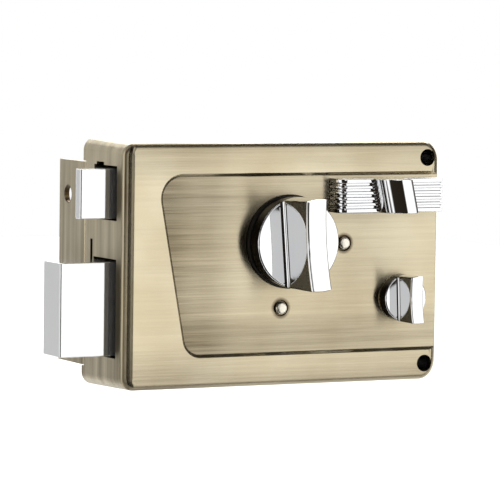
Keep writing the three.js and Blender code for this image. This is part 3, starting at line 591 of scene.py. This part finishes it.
SLOT_MATERIAL = {
    "antique_brass": brass_material(),
    "bolt_chrome": bolt_material(),
    "knob_chrome": knob_material(),
    "polished_brass": metal_material("polished_brass_rivets", (0.93, 0.87, 0.73), (0.98, 0.94, 0.82),
                                     0.30, 900, strength=0.1),
    "plain_steel": metal_material("zinc_plated_steel", (0.50, 0.52, 0.54), (0.62, 0.62, 0.60),
                                  0.38, 1.0, (300, 1500, 900)),
    "spring_steel": metal_material("spring_steel_drawn", (0.30, 0.31, 0.33), (0.42, 0.42, 0.44),
                                   0.32, 1.0, (2000, 700, 2000)),
    "black_steel": metal_material("blackened_steel", (0.030, 0.028, 0.026), (0.055, 0.05, 0.045),
                                  0.5, 700),
}


# ------------------------------------------------------------------ case cover
def draft_at(y):
    return DRAFT * (y / FRONT)


def case_ring(angle):
    """A ring of the case: at its back edge, or at an angle round the front edge's rounding."""
    ring = []
    for sx, sz, start in ((-1, -1, 180), (1, -1, 270), (1, 1, 0), (-1, 1, 90)):
        corner = CORNER_RIGHT if sx > 0 else CORNER_LEFT
        for k in range(13):
            turn = math.radians(start + 90 * k / 12)
            n = Vector((math.cos(turn), math.sin(turn)))
            side = RIGHT_FRONT_R if sx > 0 else LEFT_FRONT_R
            r = FRONT_R + (side - FRONT_R) * n.x * n.x
            y = 0.0 if angle is None else FRONT + r * (1 - math.sin(angle))
            middle = Vector((sx * (RIGHT - corner - draft_at(y)), sz * (TOP - corner - draft_at(y))))
            at = middle + n * (corner - (0 if angle is None else r * (1 - math.cos(angle))))
            ring.append((at.x, y, at.y))
    return ring


def cover_shell():
    """The drawn box before its openings are cut: the outer skin, then the inner one."""
    steps = 10
    outer = [case_ring(None)] + [case_ring(math.pi / 2 * k / steps) for k in range(steps + 1)]
    inner = []
    for y in (INSIDE, 0.0):
        inset = WALL + draft_at(y)
        x0, x1, z = LEFT + inset, RIGHT - inset, TOP - inset
        left_r, right_r = CORNER_LEFT - WALL, CORNER_RIGHT - WALL
        outline = rounded([(x0, -z, left_r), (x1, -z, right_r), (x1, z, right_r), (x0, z, left_r)], 12)
        inner.append([(p.x, y, p.y) for p in outline])
    bm = bmesh.new()
    rows = vertex_rows(bm, outer)
    inner_rows = vertex_rows(bm, inner)
    for low, high in zip(rows, rows[1:]):
        band(bm, low, high)
    bm.faces.new(rows[-1])
    band(bm, inner_rows[0], inner_rows[1])
    bm.faces.new(inner_rows[0])
    band(bm, inner_rows[1], rows[0])
    return raw_object("case_cover_drawn", bm)


def panel_section():
    """The panel's wall in section, a soft S: distances outwards and above the panel's floor."""
    foot_r, brow_r, slope, lip, run_on = 0.8, 0.9, 50.0, 10.0, 0.4
    section = [(foot_r * math.sin(math.radians(a)), foot_r * (1 - math.cos(math.radians(a))))
               for a in (0, 12.5, 25, 37.5, slope)]
    brow_rise = brow_r * (math.cos(math.radians(lip)) - math.cos(math.radians(slope)))
    straight = PANEL_DEPTH - section[-1][1] - brow_rise
    u, h = section[-1]
    u += straight / math.tan(math.radians(slope))
    h += straight
    centre_u = u + brow_r * math.sin(math.radians(slope))
    centre_h = h - brow_r * math.cos(math.radians(slope))
    for a in (slope, 40, 30, 20, lip):
        section.append((centre_u - brow_r * math.sin(math.radians(a)),
                        centre_h + brow_r * math.cos(math.radians(a))))
    u, h = section[-1]
    section.append((u + run_on, h + run_on * math.tan(math.radians(lip))))
    return section, u / 2


def panel_cutter():
    """The sunk panel; it runs out at the case's right end."""
    section, middle = panel_section()
    clear_of_case = (section[-1][0] + 0.2, 5.0)
    outline = rounded(PANEL_OUTLINE, 12)
    return lofted("cutter", [[(p.x, PANEL - h, p.y) for p in offset(outline, u - middle)]
                             for u, h in section + [clear_of_case]])


def door_edge_openings():
    """Openings in the left wall: latch and its notch, deadbolt and its slit, and the flange."""
    outside, inside = LEFT - 1, -60
    under, above, front, back = 0.8, 1.1, -28.8, BOLT_BACK + 0.8
    return [
        block(outside, inside, front, back, LATCH_LOW - under, LATCH_HIGH + above),
        block(outside, inside, -17.6, -11.4, LATCH_HIGH, LATCH_HIGH + 2.2),
        block(outside, inside, front, back, DEAD_LOW - under, DEAD_HIGH + above),
        block(outside, inside, -8.5, -6.6, DEAD_HIGH - 2, 9.0),
        block(outside, -64, -SHEET - CLEAR, 2, FLANGE_LOW - CLEAR, FLANGE_HIGH + CLEAR),
    ]


def rivet_seat(x, z):
    """A hole with a shallow dimple in front, as a riveted head leaves it."""
    profile = [(0, PANEL - 1), (3.15, PANEL - 1), (3.05, PANEL + 0.5), (2.8, PANEL + 0.75),
               (1.7, PANEL + 0.76), (1.7, INSIDE + 1), (0, INSIDE + 1)]
    return turned("cutter", x, z, profile, 48)


def case_cover():
    cover = cover_shell()
    slot = NECK_SLOT
    cutters = [panel_cutter()] + door_edge_openings()
    cutters.append(block(slot["left"], slot["right"], PANEL - 1, INSIDE + 1, slot["low"], slot["high"]))
    for k in (KNOB, SNIB):
        cutters.append(drill(k["x"], k["z"], k["bore"], "Y", PANEL - 1, INSIDE + 1))
    for side in (1, -1):
        cutters.append(drill(SCREW_HOLE["x"], side * SCREW_HOLE["z"], SCREW_HOLE["front_r"], "Y",
                             FRONT - 1, INSIDE + 1))
    cutters += [rivet_seat(x, z) for x, z in RIVETS.values()]
    return clean(combine(cover, cutters))


piece(case_cover(), "case", "antique_brass", "case_cover", angle=34)


# ------------------------------------------------------------------ base plate and flange
def base_plate():
    """A sheet behind the case, with a flange bent back at its left end."""
    inset = WALL + CLEAR
    x0, x1, z = LEFT + inset, RIGHT - inset, TOP - inset
    plan = rounded([(x0, -z, 3), (x1, -z, 6.2), (x1, z, 6.2), (x0, z, 3)], 6)
    sheet = swept("base_plate_bent", plan, "Y", -SHEET, 0)
    lap = x0 + 4
    bend = rounded([(LEFT, -SHEET, SHEET), (lap, -SHEET, 0), (lap, 0, 0), (LEFT + SHEET, 0, 0.6),
                    (LEFT + SHEET, FLANGE_REACH, 0), (LEFT, FLANGE_REACH, 0)], 6)
    combine(sheet, [swept("flange", bend, "Z", FLANGE_LOW, FLANGE_HIGH)], "UNION")
    before, after = -SHEET - 2, 2
    cutters = [drill(FLANGE_HOLE["y"], side * FLANGE_HOLE["z"], FLANGE_HOLE["r"], "X",
                     LEFT - SHEET, LEFT + 2 * SHEET) for side in (1, -1)]
    cutters += [drill(SCREW_HOLE["x"], side * SCREW_HOLE["z"], SCREW_HOLE["r"], "Y", before, after)
                for side in (1, -1)]
    tail_bar_r = 6.6
    cutters.append(drill(KNOB["x"], KNOB["z"], tail_bar_r, "Y", before, after))
    r, head_r = CASE_SCREW["r"], CASE_SCREW["head_r"]
    countersunk = [(0, before), (r, before), (r, -1.7), (head_r, 0), (head_r, 1), (0, 1)]
    for x in CASE_SCREW["x"]:
        for side in (1, -1):
            cutters.append(turned("cutter", x, side * CASE_SCREW["z"], countersunk, 32))
    clean(combine(sheet, cutters))
    return bevel(sheet, 0.22, 2, 50)


piece(base_plate(), "case", "antique_brass", "base_plate")


# ------------------------------------------------------------------ bolts
TAIL = 2.4  # thickness of the latch's tail
TAIL_LAP = 10  # how far the tails reach into the bolts
TAIL_RIVET_IN = 5  # the rivets, from the bolts' rear ends


def latch_bolt():
    """A block bevelled on the door side, stepped in front where its tail is riveted on."""
    tail_back = BOLT_FRONT + CLEAR + TAIL + CLEAR
    step = LATCH_REAR - TAIL_LAP
    outline = rounded([
        (LATCH_TIP, BOLT_FRONT, 0.7), (step, BOLT_FRONT, 0), (step, tail_back, 0),
        (LATCH_REAR, tail_back, 0), (LATCH_REAR, BOLT_BACK, 0), (LEFT + 0.6, BOLT_BACK, 1.5),
        (LATCH_TIP, BOLT_FRONT + 4.1, 0.8)], 5)
    bolt = swept("latch_bolt_polished", outline, "Z", LATCH_LOW, LATCH_HIGH)
    bolt = bevel(bolt, 0.3, 3, 50)
    cutters = [drill(LATCH_REAR - TAIL_RIVET_IN, z, 1.8, "Y", BOLT_FRONT, BOLT_BACK + 1, 32)
               for z in (22, 31.5)]
    rod_y, rod_z, rod_r = -16, 26.85, 1.9
    cutters.append(drill(rod_y, rod_z, rod_r, "X", LATCH_REAR - 6, LATCH_REAR + 1, 32))
    return clean(combine(bolt, cutters))


def deadbolt_head():
    """A square block, slotted at its rear for the tail that is riveted into it."""
    outline = rounded([(DEAD_TIP, BOLT_FRONT, 0.7), (DEAD_REAR, BOLT_FRONT, 0), (DEAD_REAR, BOLT_BACK, 0),
                       (DEAD_TIP, BOLT_BACK, 0.7)], 5)
    head = swept("deadbolt_polished", outline, "Z", DEAD_LOW, DEAD_HIGH)
    head = bevel(head, 0.35, 3, 50)
    slot_front, slot_back = -18.5, -14.9
    cutters = [block(DEAD_REAR - TAIL_LAP, DEAD_REAR + 1, slot_front, slot_back, DEAD_LOW - 1, DEAD_HIGH + 1)]
    cutters += [drill(DEAD_REAR - TAIL_RIVET_IN, z, 2.3, "Y", BOLT_FRONT - 1, BOLT_BACK + 1, 32)
                for z in (-8, -25)]
    return clean(combine(head, cutters))


piece(latch_bolt(), "latch", "bolt_chrome", "latch_bolt")
piece(deadbolt_head(), "deadbolt", "bolt_chrome", "deadbolt_head")


# ------------------------------------------------------------------ knobs
def grip_side(k, half, shrink):
    """Right half of the bar's plan outline, from its foot to its head, on the knob's circle."""
    reach = k["r"] + 0.1
    corner, corner_least, head_steps, corner_steps, stations = 0.6, 0.25, 4, 4, 22
    r = reach - shrink * 0.35
    w = half - shrink
    c = max(corner - shrink, corner_least)
    zc = math.sqrt(r * r - w * w)
    points = []
    for i in range(head_steps):
        x = (w - c) * i / head_steps
        points.append((x, -math.sqrt(r * r - x * x)))
    for i in range(corner_steps + 1):
        a = -math.pi / 2 + math.pi / 2 * i / corner_steps
        points.append((w - c + c * math.cos(a), -zc + c * 0.55 + c * 0.95 * math.sin(a)))
    foot = points[:]
    z0 = points[-1][1]
    for i in range(1, stations + 1):
        points.append((w, z0 + (-2 * z0) * i / (stations + 1)))
    return points + [(x, -z) for x, z in reversed(foot)]


def grip_ring(k, half, shrink, y_at):
    """A whole ring of the bar, each point at the height that y_at gives for its z."""
    right = grip_side(k, half, shrink)
    left = [(-x, z) for x, z in reversed(right[1:-1])]
    return [(x, y_at(z), z) for x, z in right + left]


def grip_rings(k):
    """Rings from below the base's front, up the root fillet and the flanks, to the dished top."""
    height = k["floor"] - k["top"]
    fillet, edge = k["fillet"], k["edge"]

    def half_at(y):
        return k["half"] + (k["root"] - k["half"]) * (y - k["top"]) / height

    def dished(z):
        return k["top"] + k["dish"] * (1 - (z / (k["r"] + 0.1)) ** 2)

    def level_ring(half, y):
        return grip_ring(k, half, 0.0, lambda z: y)

    rings = [level_ring(half_at(k["floor"]) + fillet * 0.86, k["floor"] + 0.4)]
    for a in (8, 20, 32, 44, 56, 68, 79, 90):
        a = math.radians(a)
        y = k["floor"] - fillet * (1 - math.cos(a))
        rings.append(level_ring(half_at(y) + fillet * (1 - math.sin(a)), y))
    halfway = k["floor"] - height * 0.5
    rings.append(level_ring(half_at(halfway), halfway))
    for a in quarter(4):
        sink = edge * (1 - math.sin(a))
        rings.append(grip_ring(k, k["half"] + 0.15, edge * (1 - math.cos(a)),
                               lambda z, sink=sink: dished(z) + sink))
    return rings


def knob_grip(k):
    """The bar across a knob: tapered sides, ends on the knob's circle, a dished front."""
    bm = bmesh.new()
    rows = vertex_rows(bm, grip_rings(k))
    for low, high in zip(rows, rows[1:]):
        band(bm, low, high)
    bm.faces.new(rows[0])
    last = rows[-1]
    count = len(last) // 2 + 1
    right = last[:count]
    left = [last[0]] + last[:count - 1:-1] + [last[count - 1]]
    for i in range(count - 1):
        corners = [right[i], right[i + 1], left[i + 1], left[i]]
        bm.faces.new([v for j, v in enumerate(corners) if v not in corners[:j]])
    grip = raw_object("grip", bm)
    turn = Matrix.Rotation(math.radians(-k["tilt"]), 4, "Y")
    grip.data.transform(Matrix.Translation(Vector((k["x"], 0, k["z"])) * MM) @ turn)
    return grip


def turn_knob(name, k):
    """A turned base with its bar, bored for the spindle and drilled for the grub screw."""
    r, rim, chamfer = k["r"], k["rim"], 0.5
    profile = [(r * share, k["floor"]) for share in (0, 0.35, 0.7)]
    profile += arc(r - rim, k["floor"] + rim, rim, -90, 0, 6)
    profile += [(r, k["foot"] - chamfer)]
    profile += arc(r - chamfer, k["foot"] - chamfer, chamfer, 0, 90, 4) + [(0, k["foot"])]
    knob = turned(name, k["x"], k["z"], profile, 128)
    combine(knob, [knob_grip(k)], "UNION")
    bore = drill(k["x"], k["z"], k["bore"], "Y", k["bore_end"], k["foot"] + 1)
    screw = drill(k["x"], k["foot"] - k["screw_in"], k["screw_r"], "Z", k["z"] - r - 2, k["z"], 32)
    return clean(combine(knob, [bore, screw]))


piece(turn_knob("main_knob_turned", KNOB), "knob", "knob_chrome", "main_knob", angle=30)
piece(turn_knob("snib_knob_turned", SNIB), "snib", "knob_chrome", "snib_knob", angle=30)


# ------------------------------------------------------------------ pull slide
SLIDE_FRONT = PANEL - 8.0


def rib_section(z0, z1):
    """Six rounded ribs with grooves between, as (z, depth below the crests), from low to high."""
    ribs, depth, groove, crest_r = 6, 0.85, 0.8, 0.42
    pitch = (z1 - z0) / ribs
    rising = [math.radians(a) for a in (0, 25, 50, 70, 90)]
    section = []
    for i in range(ribs):
        low = z0 + i * pitch + (groove / 2 if i else 0.0)
        high = z0 + (i + 1) * pitch - (groove / 2 if i < ribs - 1 else 0.0)
        if i:
            section.append((low - groove * 0.25, depth))
        section += [(low + crest_r * (1 - math.cos(a)), crest_r * (1 - math.sin(a))) for a in rising]
        section += [(high - crest_r * (1 - math.cos(a)), crest_r * (1 - math.sin(a))) for a in rising[::-1]]
        if i < ribs - 1:
            section.append((high + groove * 0.25, depth))
    return section


def ribbed_bar(x0, x1, y1, z0, z1):
    """The ribs run along X and wrap round the left end."""
    end_r, chamfer, bend_steps = 3.8, 0.25, 10
    rings = []
    for z, d in rib_section(z0, z1):
        ring = [(x0 + d, y1, z)]
        for a in quarter(bend_steps):
            ring.append((x0 + end_r - (end_r - d) * math.cos(a),
                         SLIDE_FRONT + end_r - (end_r - d) * math.sin(a), z))
        ring += [(x1 - chamfer, SLIDE_FRONT + d, z), (x1, SLIDE_FRONT + d + chamfer, z), (x1, y1, z)]
        rings.append(ring)
    return lofted("pull_handle_ribbed", rings)


def thumb_bar(z0, z1):
    """A leaning half-round bar, flat on its right."""
    edge, sunk, steps = 0.35, 1.5, 36
    centre = (z0 + z1) / 2
    rings = []
    for z, inset in ((z0 + 0.02, edge), (z0 + 0.12, edge * 0.3), (z0 + edge, 0.0),
                     (z1 - edge, 0.0), (z1 - 0.12, edge * 0.3), (z1 - 0.02, edge)):
        x = THUMB["x"] - (z - centre) * math.tan(math.radians(THUMB["lean"]))
        r, right = THUMB["r"] - inset, THUMB["right"] - inset
        root = SLIDE_FRONT + sunk + inset
        ring = [(x - r, root, z)]
        crest = math.asin(right / r)
        for t in range(steps + 1):
            a = -math.pi / 2 + (crest - 0.04 + math.pi / 2) * t / steps
            ring.append((x + r * math.sin(a), SLIDE_FRONT - r * math.cos(a), z))
        tip = SLIDE_FRONT - r * math.cos(crest)
        ring += [(x + right - 0.1, tip + 0.1, z), (x + right, tip + 0.4, z), (x + right, root, z)]
        rings.append(ring)
    return lofted("thumb_bar", rings)


def pull_handle():
    """The ribbed bar with its thumb bar, a pocket for the neck and a hole for the grub screw."""
    (x0, _, z0), (x1, y1, z1) = node_box("pull_handle")
    bar = ribbed_bar(x0, x1, y1, z0, z1)
    combine(bar, [thumb_bar(z0, z1)], "UNION")
    slot = NECK_SLOT
    neck_end = PANEL - 3.4 - CLEAR
    pocket = block(slot["left"], slot["left"] + NECK_LENGTH, neck_end, y1 + 1, slot["low"], slot["high"])
    screw_x, screw_r, screw_end = slot["left"] + 7, 1.3, 24
    screw = drill(screw_x, PANEL - 2, screw_r, "Z", z0 - 1, screw_end, 24)
    return clean(combine(bar, [pocket, screw]))


piece(pull_handle(), "latch", "knob_chrome", "pull_handle", angle=40)


# ------------------------------------------------------------------ small front pieces
BEARING_PLATE = 1.5  # thickness of the plate that the two front rivets hold


def front_rivet(name, x, z):
    """A domed head on the panel, a shank, and a spread tail behind the bearing plate."""
    under = PANEL + 0.05
    tail = INSIDE + CLEAR + BEARING_PLATE + CLEAR
    dome = [(0, 1.3), (0.8, 1.29), (1.4, 1.25), (1.85, 1.15), (2.15, 0.98), (2.33, 0.7),
            (2.4, 0.35), (2.4, 0)]
    shank_r, tail_r, tail_end_r = 1.4, 2.3, 1.7
    profile = [(r, under - height) for r, height in dome]
    profile += [(shank_r, under), (shank_r, tail), (tail_r, tail), (tail_end_r, tail + 1), (0, tail + 1)]
    return turned(name + "_domed", x, z, profile, 48)


for rivet, (x, z) in RIVETS.items():
    piece(front_rivet(rivet, x, z), "case", "polished_brass", rivet)


def knob_rose():
    """A flat ring under the main knob."""
    (x0, y0, z0), (x1, y1, z1) = node_box("knob_rose")
    x, z, r = (x0 + x1) / 2, (z0 + z1) / 2, (x1 - x0) / 2
    inner, edge, sides = 4.5, 0.4, 96
    profile = [(inner, y0 + 0.2), (r - edge, y0)]
    profile += arc(r - edge, y0 + edge, edge, -90, 0, 4)[1:] + [(r, y1), (inner, y1)]
    bm = bmesh.new()
    rows = vertex_rows(bm, [[(cx, y, cz) for cx, cz in circle(x, z, at, sides)] for at, y in profile])
    for low, high in zip(rows, rows[1:] + rows[:1]):
        band(bm, low, high)
    return raw_object("knob_rose_turned", bm)


piece(knob_rose(), "case", "black_steel", "knob_rose")


# ------------------------------------------------------------------ inner pieces keep their CAD shape
for part in frame["record"]["subparts"]:
    node = frame["nodes"][part["node"]]
    for place in node.material_slots:
        place.link = "OBJECT"
        place.material = SLOT_MATERIAL[part["material_slot"]]

# ------------------------------------------------------------------ floor, light, camera
# In metres. The floor and its lamp lie to the right and behind, out of the bolts' reflections.
FLOOR_DROP = 160.0 * MM  # under the case's lowest edge
FLOOR_FRONT = -0.12
FLOOR_HALF = 1.5
FLOOR_NARROW, FLOOR_RIGHT = 0.7, 0.6
LAMP = dict(at=(1.1, 1.7, 1.6), size=(2.0, 2.6), watts=60)


def floor():
    """A pale plane far under the lock."""
    bm = bmesh.new()
    bmesh.ops.create_grid(bm, x_segments=12, y_segments=12, size=FLOOR_HALF)
    for v in bm.verts:
        v.co.x = v.co.x * FLOOR_NARROW + FLOOR_RIGHT
        v.co.y += FLOOR_FRONT + FLOOR_HALF
        v.co.z = BOTTOM * MM - FLOOR_DROP
    obj = raw_object("floor", bm)
    material, n = new_material("pale_floor")
    tone = n.ramp(n.noise(n.position(), 3.0), [(0.3, 0.90), (0.7, 0.93)])
    shader(n, tone, 0.8, metallic=0.0)
    obj.data.materials.append(material)


floor()


def softbox():
    light = bpy.data.lights.new("overhead_softbox", "AREA")
    light.shape = "RECTANGLE"
    light.size, light.size_y = LAMP["size"]
    light.energy = LAMP["watts"]
    lamp = bpy.data.objects.new("overhead_softbox", light)
    lamp.location = LAMP["at"]
    bpy.context.scene.collection.objects.link(lamp)


softbox()

# The tent's brightness by azimuth, in degrees: 0 is straight in front of the panel, 90 to its right.
# The dark stretch in front is one black flag, the one to the right another.
TENT = [(-180, 1.8), (-172, 1.8), (-163, 0.58), (-118, 0.50), (-106, 1.2), (-56, 1.3), (-49, 0.025),
        (14, 0.02), (19, 1.35), (66, 1.35), (75, 0.08), (118, 0.15), (128, 2.1), (180, 1.8)]
TENT_TOP = 2.2  # at least the brightest value above
WARMTH = [(0.0, (1.0, 0.72, 0.45)), (0.10, (1.0, 0.92, 0.82)), (0.3, (1.0, 1.0, 1.0))]


def studio():
    """A white tent with black flags in front, seen in the polished faces; the backdrop is white."""
    world = bpy.data.worlds.new("studio")
    bpy.context.scene.world = world
    world.use_nodes = True
    world.node_tree.nodes.clear()
    n = Nodes(world.node_tree)
    x, y, z = n.split(n.add("ShaderNodeTexCoord").outputs["Generated"])
    front = n.math("MULTIPLY", y, -1.0)
    degrees = 180 / math.pi
    around = n.math("MULTIPLY", n.math("ARCTAN2", x, front), degrees)
    over = n.math("MULTIPLY", n.math("ARCTAN2", z, front), degrees)  # 90 is overhead, 180 behind
    up = n.math("MULTIPLY", n.math("ARCSINE", z), degrees)

    def step(value, low, high):
        node = n.add("ShaderNodeMapRange", Value=value)
        node.interpolation_type = "SMOOTHSTEP"
        for socket, level in zip(node.inputs[1:5], (low, high, 0.0, 1.0)):
            socket.default_value = level
        return node.outputs[0]

    def zone(value, low, high, soft):
        """1 from low to high, with soft edges."""
        return n.math("MULTIPLY", step(value, low - soft, low + soft),
                      n.math("SUBTRACT", 1.0, step(value, high - soft, high + soft)))

    sides = n.ramp(n.math("MULTIPLY_ADD", around, 1 / 360, 0.5),
                   [(0.5 + azimuth / 360, level / TENT_TOP) for azimuth, level in TENT])
    sides = n.math("MULTIPLY", sides, TENT_TOP)
    ceiling = n.math("MULTIPLY", zone(over, 30, 88, 4), 0.97)
    ground = n.math("MULTIPLY", zone(over, -100, -40, 6), 0.9)
    light = n.math("MULTIPLY", sides, n.math("SUBTRACT", 1.0, n.math("MAXIMUM", ceiling, ground)))
    strip = n.math("MULTIPLY", zone(around, -43, -9, 1), zone(up, -9.7, -6.4, 0.15))
    light = n.math("MAXIMUM", light, n.math("MULTIPLY", strip, 0.72))
    window = n.math("MULTIPLY", zone(around, -14, 10, 3), zone(up, -1.7, 50, 0.4))
    light = n.math("MAXIMUM", light, n.math("MULTIPLY", window, 0.85))
    camera_ray = n.add("ShaderNodeLightPath").outputs["Is Camera Ray"]
    studio_light = n.add("ShaderNodeBackground", Strength=light)
    white = n.add("ShaderNodeBackground", Strength=1.0)
    n.set(studio_light, "Color", n.ramp(light, WARMTH))
    white.inputs["Color"].default_value = (1, 1, 1, 1)
    mix = n.add("ShaderNodeMixShader", i0=camera_ray, i1=studio_light.outputs[0], i2=white.outputs[0])
    out = n.add("ShaderNodeOutputWorld")
    n.tree.links.new(mix.outputs[0], out.inputs[0])


studio()


# Direction from the lock in degrees, distance and shifts in millimetres
CAMERA = dict(azimuth=-27.0, elevation=4.09, roll=0.78, distance=1399.3, right=2.66, up=2.75,
              lens=260.74, sensor=36.0)


def add_camera():
    azimuth, elevation, roll = (math.radians(CAMERA[key]) for key in ("azimuth", "elevation", "roll"))
    back = Vector((math.sin(azimuth) * math.cos(elevation), -math.cos(azimuth) * math.cos(elevation),
                   math.sin(elevation)))
    right = (-back).cross(Vector((0, 0, 1))).normalized()
    up = right.cross(-back)
    right, up = (right * math.cos(roll) + up * math.sin(roll),
                 up * math.cos(roll) - right * math.sin(roll))
    data = bpy.data.cameras.new("camera")
    data.sensor_width = CAMERA["sensor"]
    data.lens = CAMERA["lens"]
    data.clip_start, data.clip_end = 0.1, 20.0
    camera = bpy.data.objects.new("camera", data)
    bpy.context.scene.collection.objects.link(camera)
    turn = Matrix((right, up, back)).transposed().to_4x4()
    place = (back * CAMERA["distance"] + right * CAMERA["right"] + up * CAMERA["up"]) * MM
    camera.matrix_world = Matrix.Translation(place) @ turn
    bpy.context.scene.camera = camera


add_camera()
bpy.context.scene.view_settings.view_transform = "Standard"
bpy.context.scene.view_settings.look = "None"

bpy.context.view_layer.update()
